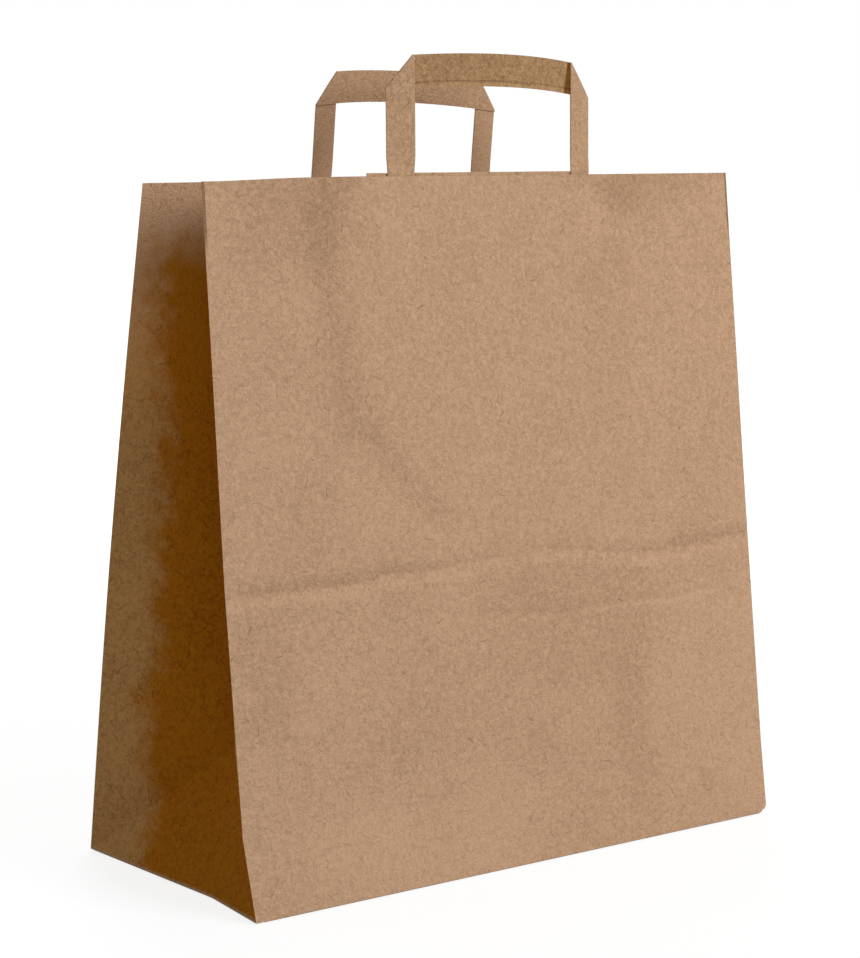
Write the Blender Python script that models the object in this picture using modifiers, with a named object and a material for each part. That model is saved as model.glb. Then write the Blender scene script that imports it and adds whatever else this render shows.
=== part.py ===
"""A kraft paper carrier bag with flat paper tape handles, standing open.

The bag is one folded sheet: front and back panels, two side gussets folded inwards, a tucked
triangle at the foot of each gusset and a flat base with two glued flaps under it. Each handle is
a flat tape with a 45 degree fold at both top corners. Its two ends run down inside a panel, under
a paper patch.

Metres, +Z up. X runs along the bag's width, -Y is the front, and the origin is the middle of the
base, on the surface that the bag stands on.
"""

import math

import bmesh
import bpy
import numpy as np

# The sheet
PAPER = 0.0003
BAG_WIDTH = 0.320
BAG_DEPTH = 0.150
PANEL_LENGTH = 0.3365

# How the bag stands: each panel's top edge is set back from its foot
FRONT_LEAN = 0.0403
BACK_LEAN_LEFT = 0.0587
BACK_LEAN_RIGHT = 0.0150
BACK_TOP_DROP = 0.0030
BACK_BULGE = 0.0035
GUSSET_DIP = 0.0073
GUSSET_BOW = 0.0035

# Creases and dents
FRONT_SINK_LEFT = 0.0063
FRONT_SINK_RIGHT = 0.0008
KNEE_HEIGHT = 0.037
CREASE_DEPTH = 0.0012
CREASE_HALF_WIDTH = 0.007
IMPRINT_DEPTH = 0.0009
IMPRINT_HALF_WIDTH = 0.012
PANEL_WAVE = 0.0011
FOOT_PINCH_LEFT = 0.0048
FOOT_PINCH_RIGHT = 0.0022
FOOT_PINCH_FROM_FRONT = 0.045

# The base's glued flaps and the lengthwise seam
FLAP_OVERLAP = 0.022
FLAP_INSET = 0.0004
SEAM_FROM_SIDE = 0.024
SEAM_STEP = 0.0003
SEAM_RAMP = 0.0006

# Handles
TAPE_WIDTH = 0.0156
TAPE = 0.0006
TAPE_FOLD_GAP = 0.00015
HANDLE_WIDTH = 0.1283
FRONT_HANDLE_RISE = 0.0560
BACK_HANDLE_RISE = 0.0526
FRONT_HANDLE_CENTRE = 0.0070
BACK_HANDLE_CENTRE = 0.0038
HANDLE_ARCH = 0.0029
HANDLE_DROP = 0.0024
GLUE_LENGTH = 0.040
TURN_LENGTH = 0.014
TWIST_LENGTH = 0.009
FRONT_HANDLE_TURNS = (math.radians(-6.6), math.radians(17.6))
BACK_HANDLE_TURNS = (math.radians(6.9), math.radians(10.8))
FRONT_HANDLE_TILT = math.radians(0.9)
BACK_HANDLE_TILT = math.radians(6.1)

# Patches
PATCH_LONG_MARGIN = 0.0122
PATCH_SHORT_MARGIN = 0.0004
PATCH_RISE = 0.0017
PATCH_BELOW_TAPE = 0.004
PATCH_RAMP = 0.0025
PATCH_RETURN = 0.009
SEAT_GAP = 0.0003

# How finely the surfaces are divided
PANEL_COLUMNS = (0.12, 0.26, 0.40, 0.72, 0.93, 1.0)
KNEE_ROWS = 4
FOOT_ROWS = 5
UPPER_ROWS = 12
GUSSET_CELLS = 4
TUCK_CELLS = 2
TAPE_CELLS = 2
STRIP_ROWS = 25
FOLD_ROWS = 5
PATCH_COLUMNS = 7
DOUBLED = 1e-6

HALF_WIDTH = BAG_WIDTH / 2
HALF_DEPTH = BAG_DEPTH / 2
BASE_LEVEL = 2.5 * PAPER
CREASE_HEIGHT = BAG_DEPTH
FRONT_TOP = math.sqrt(PANEL_LENGTH**2 - FRONT_LEAN**2)
BACK_TOP = FRONT_TOP - BACK_TOP_DROP
TAPE_OFFSET = PAPER / 2 + SEAT_GAP + TAPE / 2
PATCH_LOW_OFFSET = PAPER + SEAT_GAP
PATCH_HIGH_OFFSET = PAPER + TAPE + 2 * SEAT_GAP


def smooth(t):
    """0 below 0, 1 above 1, and a smooth step between."""
    t = np.clip(t, 0.0, 1.0)
    return t * t * (3.0 - 2.0 * t)


def bump(distance, half_width):
    """1 at 0 and falling smoothly to 0 at half_width on either side."""
    return 1.0 - smooth(np.abs(distance) / half_width)


def tent(t, low, high):
    """Rises from 0 to 1 between 0 and low, stays 1 up to high and falls to 0 at 1."""
    return np.interp(t, (0.0, low, high, 1.0), (0.0, 1.0, 1.0, 0.0))


def between(left, right, x):
    """A value that runs evenly from the bag's left side to its right side."""
    return left + (right - left) * (x + HALF_WIDTH) / BAG_WIDTH


def relief(x, height):
    """How far a panel stands out from flat: the press line across it, the imprints of the folded
    gussets down it, and a slow wave. It dies out at the edges and under the patches."""
    crease = -CREASE_DEPTH * bump(height - CREASE_HEIGHT, CREASE_HALF_WIDTH)
    calm = smooth((PANEL_LENGTH - GLUE_LENGTH - height) / CREASE_HEIGHT)
    imprint = -IMPRINT_DEPTH * bump(np.abs(x) - (HALF_WIDTH - HALF_DEPTH), IMPRINT_HALF_WIDTH)
    edges = smooth((HALF_WIDTH - np.abs(x)) / HALF_DEPTH) * smooth(height / KNEE_HEIGHT)
    wave = np.sin(2.2 * math.pi * x / BAG_WIDTH + 5.0 * height / PANEL_LENGTH)
    return crease + edges * calm * (imprint + PANEL_WAVE * wave)


def front_point(x, height):
    """The front panel at x and at a height measured along the paper. Past the top edge it goes on
    in the panel's own plane."""
    share = height / PANEL_LENGTH
    sink = between(FRONT_SINK_LEFT, FRONT_SINK_RIGHT, x)
    sink = sink * tent(share, KNEE_HEIGHT / PANEL_LENGTH, CREASE_HEIGHT / PANEL_LENGTH)
    y = -HALF_DEPTH + FRONT_LEAN * share + sink - relief(x, height)
    z = BASE_LEVEL + (FRONT_TOP - BASE_LEVEL) * share
    return np.array((x, y, z))


def back_point(x, height):
    """The back panel at x and at a height measured along the paper."""
    share = height / PANEL_LENGTH
    lean = between(BACK_LEAN_LEFT, BACK_LEAN_RIGHT, x)
    bulge = BACK_BULGE * math.sin(math.pi * min(share, 1.0))
    seam = SEAM_STEP * smooth((x - HALF_WIDTH + SEAM_FROM_SIDE) / SEAM_RAMP)
    # The seam's step would spoil the corner, so it closes again before the side
    seam = seam * smooth((HALF_WIDTH - x) / SEAM_FROM_SIDE * 2)
    y = HALF_DEPTH - lean * share + bulge + relief(x, height) + seam
    z = BASE_LEVEL + (BACK_TOP - BASE_LEVEL) * share
    return np.array((x, y, z))


def foot_edge(side, y):
    """The base's short edge: it is pinched inwards near the front corner."""
    pinch = FOOT_PINCH_LEFT if side < 0 else FOOT_PINCH_RIGHT
    peak = FOOT_PINCH_FROM_FRONT / BAG_DEPTH
    share = np.interp((y + HALF_DEPTH) / BAG_DEPTH, (0.0, peak, 1.0), (0.0, 1.0, 0.0))
    return np.array((side * (HALF_WIDTH - pinch * share), y, BASE_LEVEL))


def gusset_apex(side):
    """The top of the tucked triangle: half the depth away from both corner lines."""
    front = front_point(side * HALF_WIDTH, HALF_DEPTH)
    back = back_point(side * HALF_WIDTH, HALF_DEPTH)
    reach = (back[1] - front[1]) / 2
    rise = front[2] - BASE_LEVEL
    cosine = (reach**2 + rise**2) / (2 * rise * HALF_DEPTH)
    tuck = math.acos(min(1.0, cosine))
    inward = HALF_DEPTH * math.sin(tuck)
    upward = HALF_DEPTH * math.cos(tuck)
    return np.array((side * (HALF_WIDTH - inward), 0.0, BASE_LEVEL + upward))


def gusset_top(side):
    """The top of the gusset's middle crease, half the depth away from both top corners."""
    front = front_point(side * HALF_WIDTH, PANEL_LENGTH)
    back = back_point(side * HALF_WIDTH, PANEL_LENGTH)
    middle = (front + back) / 2
    half_gap = np.linalg.norm(front - back) / 2
    reach = math.sqrt(HALF_DEPTH**2 - half_gap**2 - GUSSET_DIP**2)
    return middle - np.array((side * reach, 0.0, GUSSET_DIP))


def gusset_row(side, height):
    """One level of a gusset, from its front corner line to its back one. Below the apex the
    middle part lies on the tucked triangle, whose sides rise at 45 degrees in the flat sheet."""
    front = front_point(side * HALF_WIDTH, height)
    back = back_point(side * HALF_WIDTH, height)
    apex = gusset_apex(side)
    if height < HALF_DEPTH:
        share = height / HALF_DEPTH
        foot_y = np.linspace(-HALF_DEPTH, HALF_DEPTH, 2 * TUCK_CELLS + 1)
        middle = [foot_edge(side, y) * (1 - share) + apex * share for y in foot_y]
    else:
        share = (height - HALF_DEPTH) / (PANEL_LENGTH - HALF_DEPTH)
        crease = apex + (gusset_top(side) - apex) * share
        middle = [crease] * (2 * TUCK_CELLS + 1)
    bow = GUSSET_BOW * smooth(height / CREASE_HEIGHT)
    dent = CREASE_DEPTH * bump(height - CREASE_HEIGHT, CREASE_HALF_WIDTH)
    steps = np.linspace(0.0, 1.0, GUSSET_CELLS + 1)
    before = []
    after = []
    for step in steps[:-1]:
        outward = np.array((side, 0.0, 0.0)) * (bow - dent) * math.sin(math.pi * step)
        before.append(front + (middle[0] - front) * step + outward)
        after.append(back + (middle[-1] - back) * step + outward)
    return before + middle + after[::-1]


def object_from(name, points, faces, collection):
    """A mesh object in the collection from points and faces, with doubled points made one."""
    mesh = bpy.data.meshes.new(name)
    mesh.from_pydata([tuple(map(float, p)) for p in points], [], faces)
    work = bmesh.new()
    work.from_mesh(mesh)
    bmesh.ops.remove_doubles(work, verts=work.verts, dist=DOUBLED)
    bmesh.ops.recalc_face_normals(work, faces=work.faces)
    work.to_mesh(mesh)
    work.free()
    obj = bpy.data.objects.new(name, mesh)
    collection.objects.link(obj)
    return obj


def grid_faces(rows, columns, first=0):
    """Four-sided faces between the points of a grid that is stored row after row."""
    faces = []
    for row in range(rows - 1):
        for column in range(columns - 1):
            corner = first + row * columns + column
            faces.append((corner, corner + 1, corner + columns + 1, corner + columns))
    return faces


def solidify(obj, thickness):
    wall = obj.modifiers.new("Wall", "SOLIDIFY")
    wall.thickness = thickness
    wall.offset = 0.0
    wall.use_even_offset = True
    wall.use_quality_normals = True
    return wall


def panel_stations():
    """Where the panels' columns stand across the width: even cells, with extra ones where the
    folded gussets have left their imprint and at the seam."""
    imprint = HALF_WIDTH - HALF_DEPTH
    seam = HALF_WIDTH - SEAM_FROM_SIDE
    half = [share * HALF_WIDTH for share in PANEL_COLUMNS]
    half += [imprint - IMPRINT_HALF_WIDTH, imprint, imprint + IMPRINT_HALF_WIDTH]
    half = sorted(half + [seam, seam + SEAM_RAMP])
    return [-x for x in half[::-1]] + [0.0] + half


def level_heights():
    """The heights of the rows, with extra ones at the press line."""
    below = list(np.linspace(0.0, KNEE_HEIGHT, KNEE_ROWS))
    below += [(KNEE_HEIGHT + HALF_DEPTH) / 2, HALF_DEPTH]
    below += list(np.linspace(HALF_DEPTH, CREASE_HEIGHT - CREASE_HALF_WIDTH, FOOT_ROWS))[1:]
    press = [CREASE_HEIGHT - CREASE_HALF_WIDTH / 2, CREASE_HEIGHT]
    press += [CREASE_HEIGHT + CREASE_HALF_WIDTH / 2, CREASE_HEIGHT + CREASE_HALF_WIDTH]
    above = np.linspace(CREASE_HEIGHT + CREASE_HALF_WIDTH, PANEL_LENGTH, UPPER_ROWS)
    return below + press + list(above)[1:]


def bag_sheet(collection):
    """The whole sheet as one closed ring of columns at each level, and the base inside the
    lowest ring."""
    stations = panel_stations()
    rings = []
    for height in level_heights():
        ring = [front_point(x, height) for x in stations[:-1]]
        ring += gusset_row(1, height)
        ring += [back_point(x, height) for x in stations[-2:0:-1]]
        ring += gusset_row(-1, height)[::-1]
        rings.append(ring[:-1])
    around = len(rings[0])
    points = [point for ring in rings for point in ring]
    faces = []
    for level in range(len(rings) - 1):
        for column in range(around):
            ahead = (column + 1) % around
            low = level * around
            high = low + around
            faces.append((low + column, low + ahead, high + ahead, high + column))
    first = len(points)
    foot_y = np.linspace(-HALF_DEPTH, HALF_DEPTH, 2 * TUCK_CELLS + 1)
    for y in foot_y:
        left = foot_edge(-1, y)
        right = foot_edge(1, y)
        for x in stations:
            points.append(between(left, right, x))
    faces += grid_faces(len(foot_y), len(stations), first)
    return object_from("bag_body", points, faces, collection)


def flap(name, front_side, reach, level, collection):
    """A glue flap under the base: full width at its fold, with 45 degree ends, then straight."""
    fold = HALF_DEPTH - FLAP_INSET
    end = HALF_WIDTH - HALF_DEPTH
    half = [(HALF_WIDTH - FLAP_INSET * 2, fold), (end, 0.0), (end, fold - reach)]
    outline = half + [(-x, y) for x, y in half[::-1]]
    top = BASE_LEVEL
    points = [(x, -y * front_side, level) for x, y in outline]
    points += [(x, -y * front_side, top) for x, y in outline]
    count = len(outline)
    faces = [tuple(range(count)), tuple(range(2 * count - 1, count - 1, -1))]
    for i in range(count):
        ahead = (i + 1) % count
        faces.append((i, ahead, count + ahead, count + i))
    obj = object_from(name, points, faces, collection)
    obj.hide_render = True
    obj.display_type = "WIRE"
    return obj


def build_bag(parts, helpers):
    bag = bag_sheet(parts)
    solidify(bag, PAPER)
    reach = HALF_DEPTH + FLAP_OVERLAP
    flaps = (
        flap("front_flap", 1, reach, PAPER, helpers),
        flap("back_flap", -1, reach, 0.0, helpers),
    )
    for piece in flaps:
        joined = bag.modifiers.new(piece.name, "BOOLEAN")
        joined.operation = "UNION"
        joined.solver = "EXACT"
        joined.object = piece
    return bag


class PanelFrame:
    """Places the points of a handle or a patch on a panel. along runs across the panel from the
    handle's middle, up is measured along the paper from the panel's top edge, and inward is the
    distance from the middle of the panel's paper towards the inside of the bag."""

    def __init__(self, surface, turned, centre, tilt, rise, turns):
        self.surface = surface
        self.facing = -1 if turned else 1
        self.centre = centre
        self.tilt = tilt
        self.rise = rise
        self.turns = turns

    def panel(self, along, up):
        return self.surface(self.centre + self.facing * along, PANEL_LENGTH + up)

    def axes(self, along):
        """The panel's own directions near its top edge: across, inward and up."""
        step = 0.001
        across = self.panel(along + step, 0.0) - self.panel(along - step, 0.0)
        across = across / np.linalg.norm(across)
        up = self.panel(along, 0.0) - self.panel(along, -step)
        up = up / np.linalg.norm(up)
        return across, np.cross(up, across), up

    def lifted(self, along, up):
        """How far a leg that stands turned in its slot holds the tape, and the patch over it, off
        the panel. It turns about the edge that comes first, and the patch returns beyond it."""
        outer = HANDLE_WIDTH / 2
        inner = outer - TAPE_WIDTH
        first, last = (TAPE_WIDTH * math.tan(max(turn, 0.0)) for turn in self.turns)
        over_first = min(max((along + outer) / TAPE_WIDTH, 0.0), 1.0)
        back = 1 - smooth((along + inner) / PATCH_RETURN)
        over_last = min(max((along - inner) / TAPE_WIDTH, 0.0), 1.0)
        lift = first * over_first * back + last * over_last
        return lift * smooth((up + TURN_LENGTH) / TURN_LENGTH)

    def inside(self, along, up, inward):
        """A point inside the bag, which follows the panel."""
        return self.panel(along, up) + self.axes(along)[1] * inward

    def plan(self, along):
        """The handle bowed in plan, as a cubic between its two legs: (across, inward, turn)."""
        span = HANDLE_WIDTH - TAPE_WIDTH
        share = along / span + 0.5
        start, end = (self.lifted(side * span / 2, 0.0) for side in (-1, 1))
        first, last = (math.tan(turn) - (end - start) / span for turn in self.turns)
        near = min(max(share, 0.0), 1.0)
        inward = span * (first * near * (1 - near) ** 2 - last * near**2 * (1 - near))
        slope = first * (1 - near) * (1 - 3 * near) + last * near * (3 * near - 2)
        turn = math.atan(slope + (end - start) / span)
        over = (share - near) * span
        across = (near - 0.5) * span + over * math.cos(turn)
        inward += start + (end - start) * near + over * math.sin(turn)
        return across, inward, turn

    def handle(self, along, up, layer):
        """A point of the handle, with layer counted inward from the tape that is glued."""
        lift = self.lifted(along, min(up, 0.0))
        if up <= 0:
            return self.inside(along, up, TAPE_OFFSET + lift + layer)
        bent = smooth((up - PATCH_RISE) / TWIST_LENGTH)
        across, inward, turn = self.plan(along)
        across = (1 - bent) * along + bent * (across - layer * math.sin(turn))
        inward = (1 - bent) * (lift + layer) + bent * (inward + layer * math.cos(turn))
        middle, inside, _ = self.axes(0.0)
        lean = np.array((0.0, self.facing * math.sin(self.tilt), math.cos(self.tilt)))
        start = self.panel(0.0, 0.0) + middle * across
        return start + inside * (TAPE_OFFSET + inward) + lean * up


def tape_rows(rise):
    """The folded tape as rows of two edge points (along, up, layer), from the foot of the left leg
    over both folds to the foot of the right one. The strip lies behind the legs, one tape and a
    small gap further in."""
    outer = HANDLE_WIDTH / 2
    inner = outer - TAPE_WIDTH
    low = rise - TAPE_WIDTH
    behind = TAPE + TAPE_FOLD_GAP
    leg_heights = list(np.linspace(-GLUE_LENGTH, -TURN_LENGTH, 3))
    leg_heights += list(np.linspace(-TURN_LENGTH, 0.0, 5))[1:] + [PATCH_RISE]
    leg_heights += list(np.linspace(PATCH_RISE, PATCH_RISE + TWIST_LENGTH, 6))[1:]
    leg_heights += list(np.linspace(PATCH_RISE + TWIST_LENGTH, low, 5))[1:]
    left = [((-outer, h, 0.0), (-inner, h, 0.0)) for h in leg_heights]
    for angle in np.linspace(-math.pi / 2, math.pi / 2, FOLD_ROWS):
        out = behind / 2 * math.cos(angle) / math.sqrt(2)
        layer = behind / 2 * (1 + math.sin(angle))
        left.append(((-outer - out, low + out, layer), (-inner - out, rise + out, layer)))
    strip = [((x, low, behind), (x, rise, behind)) for x in np.linspace(-inner, inner, STRIP_ROWS)]
    right = [((-a[0], a[1], a[2]), (-b[0], b[1], b[2])) for a, b in left[::-1]]
    return left + strip + right


def arched(along, up):
    """The strip's slow rise to the middle, and its fall towards the right leg."""
    share = along / (HANDLE_WIDTH / 2)
    lift = HANDLE_ARCH * (1 - share**2) - HANDLE_DROP * (share + 1) / 2
    return up + lift * smooth((up - TWIST_LENGTH) / TWIST_LENGTH)


def build_handle(name, frame, collection):
    points = []
    rows = tape_rows(frame.rise)
    for first, last in rows:
        for share in np.linspace(0.0, 1.0, TAPE_CELLS + 1):
            along, up, layer = (a + (b - a) * share for a, b in zip(first, last))
            points.append(frame.handle(along, arched(along * frame.facing, up), layer))
    faces = grid_faces(len(rows), TAPE_CELLS + 1)
    handle = object_from(name, points, faces, collection)
    solidify(handle, TAPE)
    return handle


def patch_offset(along):
    """How far inward the patch lies: close to the panel, and lifted over the two legs."""
    outer = HANDLE_WIDTH / 2
    inner = outer - TAPE_WIDTH
    distance = max(abs(along) - outer, inner - abs(along), 0.0)
    over = 1 - smooth((distance - SEAT_GAP) / PATCH_RAMP)
    return PATCH_LOW_OFFSET + (PATCH_HIGH_OFFSET - PATCH_LOW_OFFSET) * over


def build_patch(name, frame, collection):
    outer = HANDLE_WIDTH / 2
    inner = outer - TAPE_WIDTH
    ramp = np.linspace(SEAT_GAP, SEAT_GAP + PATCH_RAMP, 4)
    left_leg = [-outer - r for r in ramp[::-1]] + [-inner + r for r in ramp]
    across = [-outer - PATCH_LONG_MARGIN, -outer + TAPE_WIDTH / 2] + left_leg
    across += [-inner + PATCH_RETURN / 2, -inner + PATCH_RETURN]
    across += list(np.linspace(-inner + PATCH_RETURN, inner, PATCH_COLUMNS))[1:-1]
    across += [inner - r for r in ramp[::-1]] + [outer - TAPE_WIDTH / 2]
    across += [outer + PATCH_SHORT_MARGIN]
    across = sorted(across)
    foot = -GLUE_LENGTH - PATCH_BELOW_TAPE
    levels = list(np.linspace(foot, -TURN_LENGTH, 4))
    levels += list(np.linspace(-TURN_LENGTH, 0.0, 5))[1:] + [PATCH_RISE]
    points = []
    for up in levels:
        for x in across:
            offset = patch_offset(x) + frame.lifted(x, min(up, 0.0))
            points.append(frame.inside(x, up, offset))
    patch = object_from(name, points, grid_faces(len(levels), len(across)), collection)
    solidify(patch, PAPER)
    return patch


def kraft(name, colour):
    material = bpy.data.materials.new(name)
    material.use_nodes = True
    shader = material.node_tree.nodes["Principled BSDF"]
    shader.inputs["Base Color"].default_value = (*colour, 1.0)
    shader.inputs["Roughness"].default_value = 0.85
    shader.inputs["Metallic"].default_value = 0.0
    return material


def new_collection(name):
    collection = bpy.data.collections.new(name)
    bpy.context.scene.collection.children.link(collection)
    return collection


def main():
    for obj in list(bpy.data.objects):
        bpy.data.objects.remove(obj, do_unlink=True)
    parts = new_collection("paper_carrier_bag")
    helpers = new_collection("joining_shapes")
    frames = {
        "front": PanelFrame(
            front_point,
            False,
            FRONT_HANDLE_CENTRE,
            FRONT_HANDLE_TILT,
            FRONT_HANDLE_RISE,
            FRONT_HANDLE_TURNS,
        ),
        "back": PanelFrame(
            back_point,
            True,
            BACK_HANDLE_CENTRE,
            BACK_HANDLE_TILT,
            BACK_HANDLE_RISE,
            BACK_HANDLE_TURNS,
        ),
    }
    bag = build_bag(parts, helpers)
    pieces = [(bag, (0.49, 0.30, 0.18))]
    for side, frame in frames.items():
        pieces.append((build_handle(side + "_handle", frame, parts), (0.42, 0.26, 0.15)))
        pieces.append((build_patch(side + "_handle_patch", frame, parts), (0.46, 0.29, 0.17)))
    for obj, colour in pieces:
        obj.data.materials.append(kraft(obj.name + "_kraft", colour))


main()
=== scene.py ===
"""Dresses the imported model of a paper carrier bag: kraft paper, folded tape handles and a studio.

Every piece is a numpy surface in the CAD's own frame: metres, +Z up, -Y is the front, and the
origin is the middle of the base.
"""

import math

import bmesh
import bpy
import numpy as np
from bpy.props import FloatProperty, FloatVectorProperty, PointerProperty
from mathutils import Matrix


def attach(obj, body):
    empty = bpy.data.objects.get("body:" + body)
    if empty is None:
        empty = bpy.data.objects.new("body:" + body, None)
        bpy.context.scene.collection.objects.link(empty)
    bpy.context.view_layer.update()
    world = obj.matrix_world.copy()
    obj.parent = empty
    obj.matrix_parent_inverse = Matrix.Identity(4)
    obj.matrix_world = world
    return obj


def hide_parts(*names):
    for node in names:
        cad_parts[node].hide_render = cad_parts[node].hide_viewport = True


bl_info = {
    "name": "Paper carrier bag",
    "version": (1, 0, 0),
    "blender": (4, 5, 0),
    "location": "View3D > Sidebar > Paper bag",
    "description": "Makes a kraft paper carrier bag with tape handles, and its studio",
    "category": "Add Mesh",
}

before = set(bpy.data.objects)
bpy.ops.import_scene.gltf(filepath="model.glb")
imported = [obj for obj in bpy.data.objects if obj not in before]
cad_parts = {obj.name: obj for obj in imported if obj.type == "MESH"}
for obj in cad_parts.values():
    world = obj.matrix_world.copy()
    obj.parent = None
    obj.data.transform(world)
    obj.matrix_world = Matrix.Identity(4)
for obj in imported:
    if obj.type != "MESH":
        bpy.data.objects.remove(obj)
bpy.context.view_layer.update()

# How the bag stands, as in the CAD, but for the gusset's smaller dip
BACK_TOP_DROP = 0.0030
BACK_BULGE = 0.0035
GUSSET_DIP = 0.0028
GUSSET_BOW = 0.0035
FRONT_SINK_LEFT = 0.0063
FRONT_SINK_RIGHT = 0.0008
KNEE_HEIGHT = 0.037
CREASE_HALF_WIDTH = 0.007
IMPRINT_DEPTH = 0.0009
IMPRINT_HALF_WIDTH = 0.012
PANEL_WAVE = 0.0011
FOOT_PINCH_LEFT = 0.0048
FOOT_PINCH_RIGHT = 0.0022
FOOT_PINCH_FROM_FRONT = 0.045
FLAP_OVERLAP = 0.022
FLAP_INSET = 0.0004
SEAM_FROM_SIDE = 0.024
SEAM_STEP = 0.0003
SEAM_RAMP = 0.0006

# The handles and their patches, as in the CAD, but for the patch's shorter ramp
TAPE_FOLD_GAP = 0.00015
HANDLE_ARCH = 0.0029
HANDLE_DROP = 0.0024
TURN_LENGTH = 0.014
TWIST_LENGTH = 0.009
FRONT_HANDLE_TURNS = (math.radians(-6.6), math.radians(17.6))
BACK_HANDLE_TURNS = (math.radians(6.9), math.radians(10.8))
FRONT_HANDLE_TILT = math.radians(0.9)
BACK_HANDLE_TILT = math.radians(6.1)
PATCH_LONG_MARGIN = 0.0122
PATCH_SHORT_MARGIN = 0.0004
PATCH_RISE = 0.0017
PATCH_BELOW_TAPE = 0.004
PATCH_RAMP = 0.0016
PATCH_RETURN = 0.009
SEAT_GAP = 0.0003

# Fine shape that only the dressed bag has
RIPPLE = 0.00028
RIPPLE_FADE = 0.03
PRESS_WAVE = 0.0022
PRESS_WAVE_STARTS = (-0.11, -0.06)
PRESS_WAVE_TURN = (42.0, 0.6)
PRESS_SAG = 0.0042
PRESS_RISES = (-0.085, -0.071)
PRESS_SINKS = (0.020, 0.090)
FINE_CREASE = 0.0002
FINE_CREASE_HALF_WIDTH = 0.0030
SECOND_FOLD = 0.1182
SECOND_FOLD_RISE = 0.00022
CORNER_ROUND = 0.0044
CORNER_LIFT = 0.0018
CORNER_DROOP = 0.0013
TIP_CHAMFER = 0.0007
SHARP_ANGLE = math.radians(32)
DOUBLED = 1e-6

# The paper's grain: scales in cells per metre, strokes as (scale, half length, half width)
FINE_SCALE = 780.0
GRAIN_SCALE = 360.0
CURL_SCALE = 400.0
CLOUD_SCALE = 26.0
SPECK_SCALE = 95.0
LONG_STROKES = (56.0, 0.0027, 0.00050)
SHORT_STROKES = (215.0, 0.0016, 0.00042)
BUMP_HEIGHT = 0.0007
PAPER_SHINE = 0.06
# the tape's cut edge is paler, as open fibres are, and partly painted light that lifts its shade
CUT_EDGE_PALER = 1.45

# The pale and the deep paper as shares of the base colour, and their mix that gives it back
PALE_SHARES = (1.12, 1.13, 1.15)
DEEP_SHARES = (0.55, 0.50, 0.43)
BASE_MIX = 0.208
MIX_PER_DARK = 1.75

# The gussets' painted shade and light: what each multiplies the paper's colour by
# painted shade: a warm tint of the shaded left gusset below its top
SHADE_TINT_TONE = (1.03, 0.87, 0.48, 1.0)
# painted light: a lighter band high on the left gusset
PAINTED_LIGHT_TONE = (1.20, 1.16, 1.08, 1.0)
# painted shade deep in the gussets' folds
FOLD_SHADE_TONE = (0.80, 0.52, 0.05, 1.0)
# how much of the painted shade and light the right gusset gets
RIGHT_GUSSET_SHADE_SHARE = 0.25

# The handle strip's painted shade, and where the painted shadow of its right leg begins
STRIP_SHADE_TONE = (1.0, 0.97, 0.86, 1.0)
LEG_SHADOW_TONE = (0.42, 0.30, 0.09, 1.0)
LEG_SHADOW_FROM_END = 0.0120

# Soft patches on the front, darker or lighter: (across, up) of the middle, half sizes, how much
# darker
SOFT_PATCHES = (
    ((0.087, 0.326), (0.019, 0.011), 0.05),
    ((0.076, 0.286), (0.020, 0.026), 0.06),
    ((-0.115, 0.330), (0.055, 0.055), 0.09),
    ((0.100, 0.342), (0.065, 0.030), 0.12),
    ((-0.140, 0.112), (0.026, 0.048), 0.07),
    ((0.045, 0.105), (0.085, 0.030), 0.06),
    ((-0.045, 0.020), (0.085, 0.050), -0.07),
    ((0.000, 0.310), (0.040, 0.040), 0.02),
    ((0.030, 0.134), (0.074, 0.016), 0.07),
    ((0.074, 0.060), (0.017, 0.055), 0.05),
    ((0.120, 0.021), (0.007, 0.014), 0.09),
)

# The studio
KEY_PLACE = (0.70, -1.95, 1.20)
BACK_PLACE = (0.90, 1.75, 1.25)
LAMP_SIZE = 1.5
LAMP_TARGET = (0.0, 0.0, 0.17)
FLOOR_DROP = 0.0002
FLOOR_RINGS = (0.0, 0.5, 2.0, 6.0, 14.0)
FLOOR_SHADE = (0.22, 0.22, 0.22, 1.0)
FLOOR_GLOW = 0.84
FLOOR_GLOW_FURTHER_OUT = 0.20
WHITE = (1.0, 1.0, 1.0, 1.0)

# The camera of the photo
CAMERA_PLACE = (-0.7670, -1.0058, 0.3568)
CAMERA_TURNS = (37.115, -7.871, 0.174)
CAMERA_LENS = 95.46


def setting(kind, **limits):
    """A kind of setting for the panel in the sidebar: a function of a name, what it is and its
    default."""

    def make(name, description, default):
        return kind(name=name, description=description, default=default, **limits)

    return make


length = setting(FloatProperty, unit="LENGTH", precision=4)
colour = setting(FloatVectorProperty, subtype="COLOR", min=0.0, max=1.0)
share = setting(FloatProperty, subtype="FACTOR", min=0.0, max=2.0)
power = setting(FloatProperty, unit="POWER")


class SheetSettings(bpy.types.PropertyGroup):
    """Sizes of the folded sheet"""

    width: length("Width", "Across the front panel", 0.320)
    depth: length("Depth", "From front to back at the base", 0.150)
    panel_length: length("Panel length", "From the base to the top edge along the paper", 0.3365)
    thickness: length("Thickness", "Of the drawn paper", 0.0003)
    front_lean: length("Front lean", "How far the front's top edge is set back", 0.0403)
    back_lean_left: length("Back lean, left", "How far the back leans in on the left", 0.0587)
    back_lean_right: length("Back lean, right", "How far the back leans in on the right", 0.0150)
    crease_depth: length("Press line depth", "Of the line pressed across the bag", 0.0012)


class HandleSettings(bpy.types.PropertyGroup):
    """Sizes of the tape handles and where they stand"""

    width: length("Width", "Over both legs of a handle", 0.1283)
    tape_width: length("Tape width", "Of the flat folded tape", 0.0156)
    thickness: length("Tape thickness", "Of the drawn tape", 0.0006)
    front_rise: length("Front rise", "Of the front strip's top over the edge", 0.0560)
    back_rise: length("Back rise", "Of the back strip's top over the edge", 0.0526)
    front_centre: length("Front centre", "The front handle's middle across the panel", 0.0070)
    back_centre: length("Back centre", "The back handle's middle across the panel", 0.0038)
    glue_length: length("Glued length", "Of each leg inside the bag", 0.040)


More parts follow.
